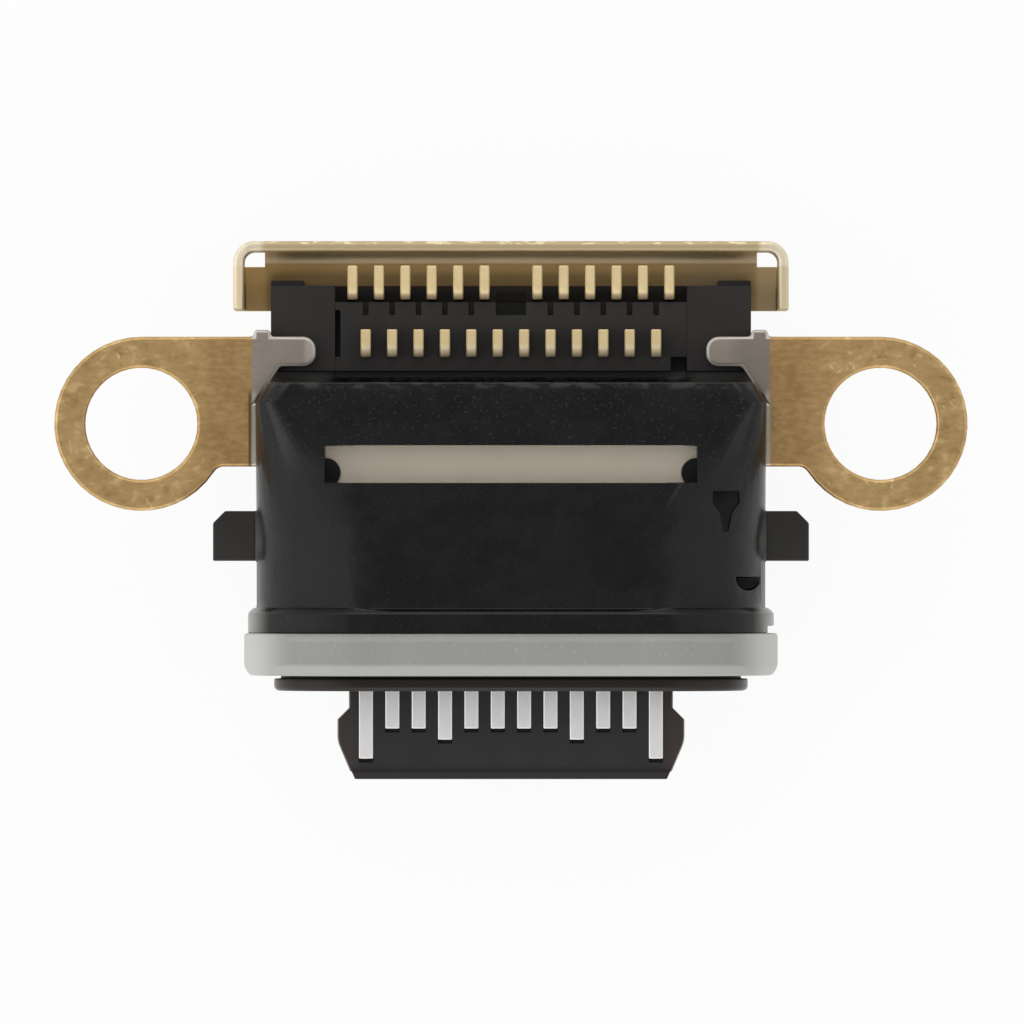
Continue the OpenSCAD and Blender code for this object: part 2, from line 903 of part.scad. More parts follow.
module lower_contact_carrier() {
    low = [deck_bottom, plate_top];
    rib_z = [deck_bottom, deck_top - rib_drop];
    color(deck_black)
    in_frame()
        difference() {
            union() {
                mid_box(neck_half, [mouth_front, deck_rear], low);
                side_boxes([neck_half, deck_half], [block_rear, deck_rear], [deck_bottom, trench_top]);
                side_boxes([neck_half, deck_half], [trench_rear, deck_rear], [deck_bottom, deck_top]);
                side_boxes([deck_half - rib_w, deck_half], [trench_rear, deck_rear + rib_l], rib_z);
            }
            plate_solid();
            contact_row(-1);
        }
}

// Slots between the comb's teeth, midway between the tails of the rear row, and the notch in the middle
module comb_slots() {
    slot_y = [comb_rear - comb_slot_l, comb_rear + over];
    for (i = [1:pins])
        if (abs(pad_x(i)) > contact_pitch)
            box(
                [pad_x(i) - comb_slot_w / 2, pad_x(i) + comb_slot_w / 2],
                slot_y,
                [comb_top - comb_slot_h, comb_top + over]
            );
    mid_box(comb_notch_w / 2, slot_y, [comb_top - comb_notch_h, comb_top + over]);
}

module upper_contact_carrier() {
    step_y = inner_leg;
    color(deck_black)
    in_frame()
        difference() {
            union() {
                mid_box(neck_half, [mouth_front, block_rear], [plate_top, neck_top]);
                mid_box(neck_half, [block_rear, trench_rear], [plate_top, trench_top]);
                mid_box(neck_half, [trench_rear, comb_rear], [plate_top, comb_top]);
            }
            contact_row(1);
            comb_slots();
            box(
                [-neck_half - over, side_slot_w - neck_half],
                [step_y, step_y + side_slot_l],
                [comb_top - side_slot_h, comb_top + over]
            );
            box(
                [neck_half - key_w, neck_half + over],
                [step_y - key_l, step_y],
                [trench_top, comb_top + over]
            );
        }
}

module rear_seal() {
    color(black)
    in_frame()
        across(2 * (body_half - corner_w))
            polygon(concat(
                [[block_rear, trench_top]],
                arc([block_rear + bead_r, trench_top + bead_r], bead_r, 270, 180)
            ));
}

outer_housing();
inner_shell();
gasket();
left_ear();
right_ear();
rear_shield();
lower_contact_carrier();
upper_contact_carrier();
tongue();
mid_plate();
upper_ground_plate();
lower_ground_plate();
rear_seal();
for (i = [1:pins]) {
    finished_contact(i, 1);
    finished_contact(i, -1);
}
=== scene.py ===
# %% [markdown]
# # A sealed charging port
# This lesson dresses a charging port that is only 17 mm wide. Its solids come from a CAD part and
# stay where they are. Blender adds what a close look shows: softened edges, formed metal strips,
# a moulded gasket and finishes with wear in them.

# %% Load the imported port
import math

import bmesh
import bpy
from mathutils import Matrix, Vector


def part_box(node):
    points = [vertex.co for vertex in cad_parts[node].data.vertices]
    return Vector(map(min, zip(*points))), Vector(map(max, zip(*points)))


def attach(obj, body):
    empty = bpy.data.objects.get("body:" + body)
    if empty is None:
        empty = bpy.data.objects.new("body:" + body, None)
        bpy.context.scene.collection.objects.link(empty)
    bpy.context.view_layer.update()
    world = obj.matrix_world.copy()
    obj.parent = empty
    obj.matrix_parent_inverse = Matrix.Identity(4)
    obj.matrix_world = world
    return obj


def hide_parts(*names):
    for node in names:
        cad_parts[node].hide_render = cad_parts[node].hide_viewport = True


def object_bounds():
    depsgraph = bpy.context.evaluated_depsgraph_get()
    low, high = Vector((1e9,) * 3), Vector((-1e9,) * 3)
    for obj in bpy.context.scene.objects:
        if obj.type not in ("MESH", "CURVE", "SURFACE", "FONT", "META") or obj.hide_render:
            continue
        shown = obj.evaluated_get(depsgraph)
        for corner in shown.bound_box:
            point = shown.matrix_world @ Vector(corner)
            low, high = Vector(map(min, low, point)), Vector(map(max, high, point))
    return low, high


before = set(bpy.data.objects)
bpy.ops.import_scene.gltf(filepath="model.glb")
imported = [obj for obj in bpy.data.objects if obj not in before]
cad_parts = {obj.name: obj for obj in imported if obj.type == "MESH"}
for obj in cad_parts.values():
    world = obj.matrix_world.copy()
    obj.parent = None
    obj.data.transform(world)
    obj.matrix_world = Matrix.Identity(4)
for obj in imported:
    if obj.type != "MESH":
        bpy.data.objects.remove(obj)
cad_low, cad_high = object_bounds()
MM = 0.001
print("port size in mm:", [round(side / MM, 2) for side in cad_high - cad_low])

# %% [markdown]
# ## The camera
# The photograph looks straight down on the solder side, with the tails at the top of the picture.
# A long lens far away keeps the walls upright, as a macro lens on a copy stand does.
# The height follows from the width of the picture, so the framing needs no trial and error.

# %% Camera over the port
PICTURE_WIDTH = 19.39 * MM
PICTURE_CENTRE = Vector((0.02, -1.67, 0)) * MM
LENS_MM = 600
SENSOR_MM = 36

camera_data = bpy.data.cameras.new("copy_stand_camera")
camera_data.lens = LENS_MM
camera_data.sensor_width = SENSOR_MM
camera_data.clip_start = MM
camera = bpy.data.objects.new("copy_stand_camera", camera_data)
camera_height = PICTURE_WIDTH * LENS_MM / SENSOR_MM
camera.location = PICTURE_CENTRE + Vector((0, 0, camera_height))
scene = bpy.context.scene
scene.collection.objects.link(camera)
scene.camera = camera
scene.view_settings.view_transform = "Standard"
print("camera height in mm:", round(camera_height / MM, 1))

# %% [markdown]
# ## A wire for shader sums
# A finish is a small sum: some grain, plus a little wear, minus the dark corners.
# Wrapping a socket in a class lets Python write that sum, and each sign adds its Math node.
# Every other node comes from one method, which takes its settings first and then its sockets.


# %% The wire class
class Wire:
    """One output socket of a finish. Sums on it add Math nodes to the same finish."""

    def __init__(self, socket):
        self.socket = socket

    def node(self, kind, settings, inputs, out=0):
        """Adds a node, fills or links its sockets and gives one of its outputs."""
        tree = self.socket.id_data
        made = tree.nodes.new(kind)
        for name, value in settings.items():
            setattr(made, name, value)
        for name, value in inputs.items():
            if isinstance(value, Wire):
                tree.links.new(value.socket, made.inputs[name])
            else:
                made.inputs[name].default_value = value
        return Wire(made.outputs[out])

    def math(self, operation, *values):
        return self.node("ShaderNodeMath", {"operation": operation}, dict(enumerate(values)))

    def __add__(self, other):
        return self.math("ADD", self, other)

    def __sub__(self, other):
        return self.math("SUBTRACT", self, other)

    def __rsub__(self, other):
        return self.math("SUBTRACT", other, self)

    def __mul__(self, other):
        return self.math("MULTIPLY", self, other)

    def __abs__(self):
        return self.math("ABSOLUTE", self)

    def __or__(self, other):
        return self.math("MAXIMUM", self, other)

    __radd__ = __add__
    __rmul__ = __mul__

    def fade(self, start, end):
        """0 at start, 1 at end, with a soft rise between them."""
        ends = {"Value": self, "From Min": start, "From Max": end}
        return self.node("ShaderNodeMapRange", {"interpolation_type": "SMOOTHSTEP"}, ends)

    def tint(self, low, high):
        """A colour that goes from low to high as this value goes from 0 to 1."""
        # A Mix node has sockets for each type of data: inputs 6 and 7 and output 2 are the colours.
        return self.node("ShaderNodeMix", {"data_type": "RGBA"}, {0: self, 6: low, 7: high}, out=2)


# %% [markdown]
# ## Light and floor
# The photograph was taken in something like a light tent: white ground and bright walls, and a
# darker opening overhead for the camera. So flat metal looks deep in tone and every rounded edge
# shines. A sky that darkens upwards does this, and four softboxes add a bright line to the edges.
# The right wall is dimmer, because in the photograph left-facing edges are the brighter ones.
# The floor is seen white by camera and mirror rays, but keeps a part of its own shading,
# so that the port still throws a faint shadow.

# %% Sky of the light tent
TENT_WALL = (1.06, 1.06, 1.05, 1)
TENT_RIGHT = (0.72, 0.72, 0.72, 1)
TENT_TOP = (0.44, 0.44, 0.45, 1)
RIGHT_WALL_FADE = (0.1, 0.6)
TOP_OPENING_FADE = (0.78, 0.955)

world = bpy.data.worlds.new("light_tent")
scene.world = world
world.use_nodes = True
tent = world.node_tree
direction = Wire(tent.nodes.new("ShaderNodeTexCoord").outputs["Generated"])
rightwards = direction.node("ShaderNodeSeparateXYZ", {}, {0: direction})
upwards = direction.node("ShaderNodeSeparateXYZ", {}, {0: direction}, out=2)
tent_wall = rightwards.fade(*RIGHT_WALL_FADE).tint(TENT_WALL, TENT_RIGHT)
tent_colour = upwards.fade(*TOP_OPENING_FADE).tint(tent_wall, TENT_TOP)
tent.links.new(tent_colour.socket, tent.nodes["Background"].inputs["Color"])
print("tent top is", TENT_TOP[0], "of white")

# %% Rays that show the white ground
GROUND_RAYS = ("Is Camera Ray", "Is Glossy Ray", "Is Transmission Ray")


def shows_ground(tree):
    """1 for rays from the camera, or by way of metal or glass, and 0 for rays that only light."""
    light_path = tree.nodes.new("ShaderNodeLightPath")
    camera_ray, glossy_ray, glass_ray = (Wire(light_path.outputs[name]) for name in GROUND_RAYS)
    return camera_ray | glossy_ray | glass_ray


# %% White floor under the port
FLOOR_SIZE = 2.0
FLOOR_GAP = 0.002 * MM
FLOOR_COLOUR = (0.82, 0.82, 0.82, 1)
FLOOR_GLOW = 0.92
WHITE = (1, 1, 1, 1)

floor_shape = bmesh.new()
bmesh.ops.create_grid(floor_shape, x_segments=1, y_segments=1, size=FLOOR_SIZE)
bmesh.ops.translate(floor_shape, verts=floor_shape.verts, vec=(0, 0, cad_low.z - FLOOR_GAP))
floor_mesh = bpy.data.meshes.new("floor")
floor_shape.to_mesh(floor_mesh)
floor_shape.free()
floor = bpy.data.objects.new("floor", floor_mesh)
scene.collection.objects.link(floor)

floor_paint = bpy.data.materials.new("floor_paint")
floor_paint.use_nodes = True
floor_tree = floor_paint.node_tree
floor_tree.nodes.clear()
ground = shows_ground(floor_tree) * FLOOR_GLOW
paint = ground.node("ShaderNodeBsdfDiffuse", {}, {"Color": FLOOR_COLOUR})
glow = ground.node("ShaderNodeEmission", {}, {"Color": WHITE, "Strength": 1})
mixed = ground.node("ShaderNodeMixShader", {}, {0: ground, 1: paint, 2: glow})
floor_output = floor_tree.nodes.new("ShaderNodeOutputMaterial")
floor_tree.links.new(mixed.socket, floor_output.inputs["Surface"])
floor_mesh.materials.append(floor_paint)
print("floor at", round(cad_low.z / MM, 3), "mm")

# %% Softboxes round the port
SOFTBOX_DISTANCE = 0.36
SOFTBOX_SIZE = (0.30, 0.14)


def softbox(name, azimuth, elevation, brightness):
    """An area lamp that looks at the port; brightness 1 is the white of the ground."""
    around, up = math.radians(azimuth), math.radians(elevation)
    level = math.cos(up)
    way = Vector((math.sin(around) * level, -math.cos(around) * level, math.sin(up)))
    lamp = bpy.data.lights.new(name, "AREA")
    lamp.shape = "RECTANGLE"
    lamp.size, lamp.size_y = SOFTBOX_SIZE
    lamp.energy = brightness * math.pi * lamp.size * lamp.size_y
    box = bpy.data.objects.new(name, lamp)
    box.location = way * SOFTBOX_DISTANCE
    box.rotation_euler = way.to_track_quat("Z", "Y").to_euler()
    box.visible_camera = False
    scene.collection.objects.link(box)
    print(name, "gives", round(lamp.energy, 3), "W")


softbox("left_softbox", azimuth=-90, elevation=34, brightness=1.3)
softbox("right_softbox", azimuth=90, elevation=34, brightness=0.7)
softbox("rear_softbox", azimuth=180, elevation=36, brightness=1.3)
softbox("front_softbox", azimuth=0, elevation=34, brightness=1.2)

# %% [markdown]
# ## How a finish starts and ends
# Every finish reads Object coordinates, counted in millimetres so that a grain of 0.1 means 0.1 mm.
# All pieces sit at the origin, so one pattern runs on from piece to piece as on the real part.
# Marks are masks from 0 to 1, made from the place on the port with fades and bands.
# The last step joins colour, roughness and relief to one shader.


# %% Start of a finish
def start_finish(name):
    """A new material, and the place on the port in millimetres."""
    material = bpy.data.materials.new(name)
    material.use_nodes = True
    material.node_tree.nodes.clear()
    coordinates = material.node_tree.nodes.new("ShaderNodeTexCoord")
    metres = Wire(coordinates.outputs["Object"])
    in_mm = {"Vector": metres, "Scale": 1 / MM}
    return material, metres.node("ShaderNodeVectorMath", {"operation": "SCALE"}, in_mm)


def along(place, axis):
    """One coordinate in millimetres: 0 across, 1 along the plug, 2 upwards."""
    return place.node("ShaderNodeSeparateXYZ", {}, {0: place}, out=axis)


# %% Patterns and masks
SPOT_BORDER = 0.06


def mottle(place, size, detail=2.0, stretch=(1, 1, 1)):
    """Cloudy values from 0 to 1 whose spots are about size millimetres across."""
    scale = [1 / (size * part) for part in stretch]
    mapped = place.node("ShaderNodeMapping", {}, {"Vector": place, "Scale": scale})
    noise = {"Vector": mapped, "Scale": 1.0, "Detail": detail}
    return place.node("ShaderNodeTexNoise", {}, noise)


def speckle(place, size, rarity):
    """Small scattered spots; a rarity near 1 leaves few of them."""
    return mottle(place, size, detail=1.0).fade(rarity, rarity + SPOT_BORDER)


def band(value, start, end, soft):
    """1 between start and end, with soft borders."""
    return value.fade(start - soft, start + soft) * (1 - value.fade(end - soft, end + soft))


# %% End of a finish
def end_finish(material, colour, roughness, relief, depth, metallic=0.0, specular=0.5):
    """Joins the wires to a shader. Relief is a height from 0 to 1, and depth its size in mm."""
    bumps = {"Strength": 1.0, "Distance": depth * MM, "Height": relief}
    normal = relief.node("ShaderNodeBump", {}, bumps)
    sockets = {"Base Color": colour, "Roughness": roughness, "Metallic": metallic, "Normal": normal}
    sockets["Specular IOR Level"] = specular
    shader = relief.node("ShaderNodeBsdfPrincipled", {}, sockets)
    output = material.node_tree.nodes.new("ShaderNodeOutputMaterial")
    material.node_tree.links.new(shader.socket, output.inputs["Surface"])
    print("finish:", material.name, "with", len(material.node_tree.nodes), "nodes")
    return material


# %% [markdown]
# ## Black moulded block
# The block is a glass-filled black resin. Seen close, its skin has soft clouds where the melt
# flowed, a fine grain, and a few pale specks. Flats look almost black, while rounded flanks pick up
# the sky, so the specular level stays low and the flanks are rougher. Where the mould halves met,
# the parting line is rubbed pale and also painted as a sheen, with painted light over the lugs.
# Flash roughens the rear edge and is painted pale as glints of light. The flange's ends carry a
# painted highlight.

# %% Parting line of the block
PLUG_AXIS_HEIGHT = -0.95
BLOCK_SIDE = 4.84
SIDE_BORDER = 0.03


def parting_wear_and_sheen(across, length, height):
    """Pale line along the block's sides: rubbed wear with a painted sheen, and painted light over
    the lugs.
    """
    line = band(across, 4.68, BLOCK_SIDE, SIDE_BORDER)
    line = line * height.fade(-1.35, PLUG_AXIS_HEIGHT) * height.fade(-0.35, PLUG_AXIS_HEIGHT)
    # Over the lugs the line is painted light where the lugs shade the side.
    light_over_lugs = band(across, 4.7, BLOCK_SIDE, SIDE_BORDER) * band(length, -2.55, -1.7, 0.3)
    light_over_lugs = light_over_lugs * height.fade(-0.05, -0.7) * height.fade(-1.3, -0.8)
    return line | light_over_lugs * 0.7


# %% Finish of the block
RESIN_BLACK = (0.0018, 0.0018, 0.0019, 1)
RESIN_CLOUD = (0.005, 0.005, 0.0051, 1)
SPECK_AND_GLINT_GREY = (0.05, 0.05, 0.048, 1)
LUG_GREY = (0.028, 0.0265, 0.0235, 1)
LIP_MIDDLE = (0.016, 0.012, 0.009, 1)
LIP_END = (0.026, 0.019, 0.014, 1)
RUBBED_AND_SHEEN_GREY = (0.22, 0.22, 0.2, 1)


def block_finish():
    material, place = start_finish("moulded_block")
    across, length, height = abs(along(place, 0)), along(place, 1), along(place, 2)
    clouds = mottle(place, 1.1, 4.0, (1.3, 0.8, 1))
    blotches = mottle(place, 0.3, 3.0)
    grain = mottle(place, 0.05)
    specks = speckle(place, 0.06, 0.63) * (0.35 + 0.65 * length.fade(-1.5, 0.6))
    rear_edge = length.fade(0.62, 0.72) * height.fade(0.8, 0.95)
    # Flash along the rear top edge is rougher and painted pale as broken glints of light.
    flash_and_glint = mottle(place, 0.16, 3.0, (2, 1, 1)).fade(0.45, 0.62) * rear_edge
    # The parting line: rubbed wear with a painted sheen.
    parting = parting_wear_and_sheen(across, length, height) * (0.7 + 0.6 * blotches)
    # Painted highlight on the flange's ends.
    flange_end_highlight = across.fade(4.55, 4.98) * length.fade(-3.3, -3.6)
    dull_flank = 0.3 * band(across, 3.1, 4.3, 0.3) * length.fade(-0.2, -1.2)
    colour = (0.6 * clouds + 0.4 * blotches).fade(0.35, 0.65).tint(RESIN_BLACK, RESIN_CLOUD)
    colour = (specks * 0.3 | flash_and_glint * 0.5).tint(colour, SPECK_AND_GLINT_GREY)
    colour = across.fade(BLOCK_SIDE, 4.9).tint(colour, LUG_GREY)
    lip = across.fade(2.9, 3.6).tint(LIP_MIDDLE, LIP_END)
    colour = length.fade(-4.74, -4.82).tint(colour, lip)
    colour = (parting * 0.55 | flange_end_highlight).tint(colour, RUBBED_AND_SHEEN_GREY)
    roughness = 0.14 + 0.14 * clouds + 0.1 * blotches + 0.2 * (flash_and_glint | parting) + dull_flank
    relief = 0.15 * grain + 0.6 * blotches + clouds
    return end_finish(material, colour, roughness, relief, depth=0.01, specular=0.29)


block_black = block_finish()

# %% [markdown]
# ## Black carriers, tongue and bead
# The carriers and the tongue are a finer, duller moulding than the block. The key pocket is
# painted nearly black as shade, and the trench in front of the deck is painted a paler dark grey,
# most under the ears' fingers. The tongue is paler where the plug rubs its sides and is painted
# with shade at its tip.
# The bead is sealing compound with a lumpy skin, so its relief is deep.

# %% Finish of the two carriers
CARRIER_BLACK = (0.017, 0.0155, 0.0145, 1)
CARRIER_CLOUD = (0.027, 0.025, 0.0235, 1)
POCKET_SHADE = (0.004, 0.0036, 0.003, 1)
TRENCH_PALE_GREY = (0.11, 0.108, 0.1, 1)
UNDER_FINGERS = (3.3, 3.6)


def carrier_finish():
    material, place = start_finish("moulded_carrier")
    across, length = abs(along(place, 0)), along(place, 1)
    clouds = mottle(place, 0.7)
    grain = mottle(place, 0.035)
    # Painted shade in the key pocket.
    pocket = across.fade(0.32, 0.26) * band(length, 2.07, 2.5, 0.02)
    # Paler dark grey in the trench in front of the deck, most under the fingers.
    trench = length.fade(1.0, 0.97) * (0.35 + 0.65 * across.fade(*UNDER_FINGERS))
    colour = clouds.tint(CARRIER_BLACK, CARRIER_CLOUD)
    colour = (pocket * 0.8).tint(colour, POCKET_SHADE)
    colour = trench.tint(colour, TRENCH_PALE_GREY)
    return end_finish(material, colour, 0.5 + 0.2 * grain, grain, depth=0.0015, specular=0.25)


carrier_black = carrier_finish()

# %% Finish of the tongue
TONGUE_BLACK = (0.019, 0.0195, 0.021, 1)
TONGUE_CLOUD = (0.029, 0.0295, 0.0315, 1)
TONGUE_SIDE = (0.045, 0.035, 0.03, 1)
TONGUE_TIP_SHADE = (0.01, 0.008, 0.007, 1)


def tongue_finish():
    material, place = start_finish("moulded_tongue")
    clouds = mottle(place, 0.6)
    grain = mottle(place, 0.04)
    rubbed_side = abs(along(place, 0)).fade(2.75, 3.1)
    # Painted shade at the tip, which faces the front light.
    tip = along(place, 1).fade(-6.45, -6.62)
    colour = clouds.tint(TONGUE_BLACK, TONGUE_CLOUD)
    colour = (rubbed_side * 0.9).tint(colour, TONGUE_SIDE)
    colour = (tip * 0.9).tint(colour, TONGUE_TIP_SHADE)
    return end_finish(material, colour, 0.45 + 0.2 * grain, grain, depth=0.0015, specular=0.25)


tongue_black = tongue_finish()

# %% Finish of the sealing bead
BEAD_BLACK = (0.006, 0.006, 0.006, 1)
BEAD_GREY = (0.03, 0.028, 0.026, 1)
BEAD_PALE_GREY = (0.09, 0.088, 0.082, 1)


def bead_finish():
    material, place = start_finish("sealing_bead")
    lumps = mottle(place, 0.12, 3.0)
    colour = lumps.fade(0.35, 0.75).tint(BEAD_BLACK, BEAD_GREY)
    # The bead is paler grey under the fingers.
    colour = abs(along(place, 0)).fade(*UNDER_FINGERS).tint(colour, BEAD_PALE_GREY)
    return end_finish(material, colour, 0.25 + 0.3 * lumps, lumps, depth=0.02, specular=0.35)


bead_black = bead_finish()

# %% [markdown]
# ## Grey silicone
# The gasket is soft silicone rubber: matt, a little cloudy, with dust that clings to it.
# Light from the sides and the front is painted in: the grey is lifted on the round ends and
# the front lip, with a thin painted highlight along the rear lip.

# %% Finish of the gasket
SILICONE_GREY = (0.255, 0.258, 0.242, 1)
SILICONE_CLOUD = (0.29, 0.293, 0.276, 1)
SILICONE_LIT = (0.53, 0.53, 0.505, 1)
GASKET_DUST = (0.5, 0.5, 0.47, 1)


def silicone_finish():
    material, place = start_finish("grey_silicone")
    across, length = abs(along(place, 0)), along(place, 1)
    clouds = mottle(place, 0.9, 3.0)
    grain = mottle(place, 0.06)
    dust = speckle(place, 0.07, 0.66)
    front_lip_light, rear_lip_highlight = length.fade(-4.52, -4.62), band(length, -4.12, -4.04, 0.02)
    lit_end = across.fade(4.1, 5.0)
    colour = clouds.tint(SILICONE_GREY, SILICONE_CLOUD)
    # Painted light on the lips and the round ends.
    colour = (0.5 * front_lip_light | 0.12 * rear_lip_highlight | lit_end).tint(colour, SILICONE_LIT)
    colour = (dust * 0.2).tint(colour, GASKET_DUST)
    return end_finish(material, colour, 0.5 + 0.15 * grain, grain, depth=0.002, specular=0.35)


silicone_grey = silicone_finish()

# %% [markdown]
# ## Gold plate and bare steel of the ears
# The ears are stamped steel with a thin dull gold. It carries the rolling lines of the sheet,
# scuffs that show paler metal, and darker patches, most of them on the ring round the screw hole.
# Beside the block the ears are bare grey steel, because the plating stops there. Both metals share
# one finish, and a mask made from the distance to the middle chooses between them.

# %% Gold of the ears
EAR_GOLD_DARK = (0.38, 0.235, 0.096, 1)
EAR_GOLD_PALE = (0.54, 0.35, 0.152, 1)
RING_GOLD = (0.66, 0.46, 0.21, 1)
PATCH_PALE = (0.78, 0.57, 0.28, 1)
PATCH_DARK = (0.33, 0.205, 0.08, 1)
SCUFF_GOLD = (0.9, 0.74, 0.47, 1)


def scuffs(place, size, long, turn):
    """Thin broken streaks at an angle, as handling leaves them."""
    turned = place.node("ShaderNodeMapping", {}, {"Vector": place, "Rotation": (0, 0, turn)})
    return mottle(turned, size, stretch=(long, 1, 1)).fade(0.62, 0.72)


def worn_gold(place, across, clouds, mottling):
    """The dull gold of the necks, and the brighter, more worn gold of the rings."""
    ring = across.fade(5.6, 6.3)
    patches = mottle(place, 0.2, 4.0, (1.4, 1, 1))
    handled = mottle(place, 0.7, 1.0).fade(0.52, 0.6) * (0.15 + 0.85 * ring)
    marks = (scuffs(place, 0.11, 2.5, 0.9) | scuffs(place, 0.09, 3, -0.4)) * handled
    gold = (0.4 * clouds + 0.6 * mottling).fade(0.3, 0.7).tint(EAR_GOLD_DARK, EAR_GOLD_PALE)
    gold = (ring * 0.4).tint(gold, RING_GOLD)
    gold = (ring * patches.fade(0.52, 0.72) * 0.7).tint(gold, PATCH_PALE)
    gold = (ring * patches.fade(0.48, 0.3) * 0.6).tint(gold, PATCH_DARK)
    return (marks * 0.6).tint(gold, SCUFF_GOLD)


# %% Bare steel of the ears
EAR_STEEL_DARK = (0.31, 0.268, 0.226, 1)
EAR_STEEL_PALE = (0.43, 0.378, 0.325, 1)
STEEL_IN_SHADE = (0.2, 0.175, 0.145, 1)
STEEL_HIGHLIGHT = (0.62, 0.58, 0.52, 1)


def bare_steel(side, across, beside_block, sheet):
    """Grey sheet with painted shade on the right ear and painted highlights at the left tip and
    beside the block.
    """
    left_tip = side.fade(-3.96, -3.84) * side.fade(0, -1)
    steel = sheet.tint(EAR_STEEL_DARK, EAR_STEEL_PALE)
    # Painted shade on the right ear, which the light from the left misses.
    steel = (side.fade(4.0, 4.5) * 0.4).tint(steel, STEEL_IN_SHADE)
    # Painted highlights at the left finger's tip and beside the block.
    steel = (left_tip * 0.5).tint(steel, STEEL_HIGHLIGHT)
    return (beside_block * across.fade(4.8, BLOCK_SIDE) * 0.7).tint(steel, STEEL_HIGHLIGHT)


# %% Finish of the ears
GOLD_IN_SHADOW = (0.1, 0.06, 0.025, 1)
ROLLED_RIM_HIGHLIGHT = (0.6, 0.55, 0.5, 1)


def ear_finish():
    material, place = start_finish("plated_ear")
    side, length, height = (along(place, axis) for axis in range(3))
    across = abs(side)
    clouds = mottle(place, 0.7, 3.0)
    mottling = mottle(place, 0.1, 3.0, (1.8, 1, 1))
    rolling = mottle(place, 0.03, stretch=(12, 1, 1))
    beside_block = length.fade(0.7, 0.5)
    plated = (across + 0.05 * mottling).fade(4.9, 4.96)
    # Painted shadow along the block on the left ear.
    block_shadow = band(across, 4.91, 4.97, 0.015) * beside_block * side.fade(0, -1)
    # The rolled rims of the bare steel are painted pale and less metallic as a highlight.
    rim = band(height, -0.085, -0.008, 0.006) * (1 - plated) * (1 - beside_block)
    steel = bare_steel(side, across, beside_block, 0.5 * rolling + 0.5 * clouds)
    gold = (block_shadow * 0.75).tint(worn_gold(place, across, clouds, mottling), GOLD_IN_SHADOW)
    colour = rim.tint(plated.tint(steel, gold), ROLLED_RIM_HIGHLIGHT)
    roughness = 0.34 + 0.12 * rolling + 0.1 * clouds
    relief = 0.25 * rolling + 0.5 * mottling + clouds
    return end_finish(material, colour, roughness, relief, depth=0.003, metallic=1 - 0.7 * rim)


ear_plate = ear_finish()

# %% [markdown]
# ## Gold plate of the shield
# The shield is folded from the same kind of sheet. Its cut rim shows paler metal with small burrs
# that carry painted glints. Its side rims are painted lit, brighter on the left, its rear fold and
# its rim corners carry a painted highlight, and its bottom has painted shade under the tails and
# painted light beside the side walls. The bottom and the rim are told apart by height, and their
# marks by the place across and along.

# %% Bottom of the shield
SHIELD_GOLD_DARK = (0.58, 0.415, 0.182, 1)
SHIELD_GOLD_PALE = (0.74, 0.535, 0.25, 1)
SHADE_UNDER_TAILS = (0.3, 0.22, 0.11, 1)
BOTTOM_GREY = (0.5, 0.45, 0.35, 1)
LEFT_SIDE_FLOOR_LIGHT = (0.97, 0.72, 0.35, 1)
RIGHT_SIDE_FLOOR_LIGHT = (0.97, 0.9, 0.62, 1)
FOLD_HIGHLIGHT = (0.93, 0.78, 0.53, 1)


def bottom_gold(side, across, length, height, clouds):
    """Gold with painted shade under the tails, greyer on the right, painted light beside the side
    walls and a painted highlight along the rear fold.
    """
    bottom = height.fade(-1.3, -1.5)
    # Painted shade by the deck, under the tails.
    by_deck = length.fade(2.99, 2.78) * across.fade(4.7, 4.5)
    # Painted highlight along the rear fold.
    rear_fold = band(length, 3.06, 3.28, 0.02) * height.fade(-1.2, -1.4)
    side_floor_light = side.fade(-1, 1).tint(LEFT_SIDE_FLOOR_LIGHT, RIGHT_SIDE_FLOOR_LIGHT)
    gold = clouds.tint(SHIELD_GOLD_DARK, SHIELD_GOLD_PALE)
    gold = (by_deck * 0.66).tint(gold, SHADE_UNDER_TAILS)
    gold = (bottom * side.fade(2.5, 4.0) * 0.3).tint(gold, BOTTOM_GREY)
    # Painted light on the floor beside the side walls, paler on the right.
    gold = (bottom * across.fade(4.6, 4.75) * 0.4).tint(gold, side_floor_light)
    return rear_fold.tint(gold, FOLD_HIGHLIGHT)


# %% Finish of the shield
RIM_REAR = (0.49, 0.395, 0.245, 1)
RIM_RIGHT_LIT = (0.65, 0.565, 0.37, 1)
RIM_LEFT_LIT = (0.79, 0.66, 0.46, 1)
RIM_CORNER_HIGHLIGHT = (0.86, 0.78, 0.62, 1)
BURR_GLINT = (0.84, 0.74, 0.5, 1)


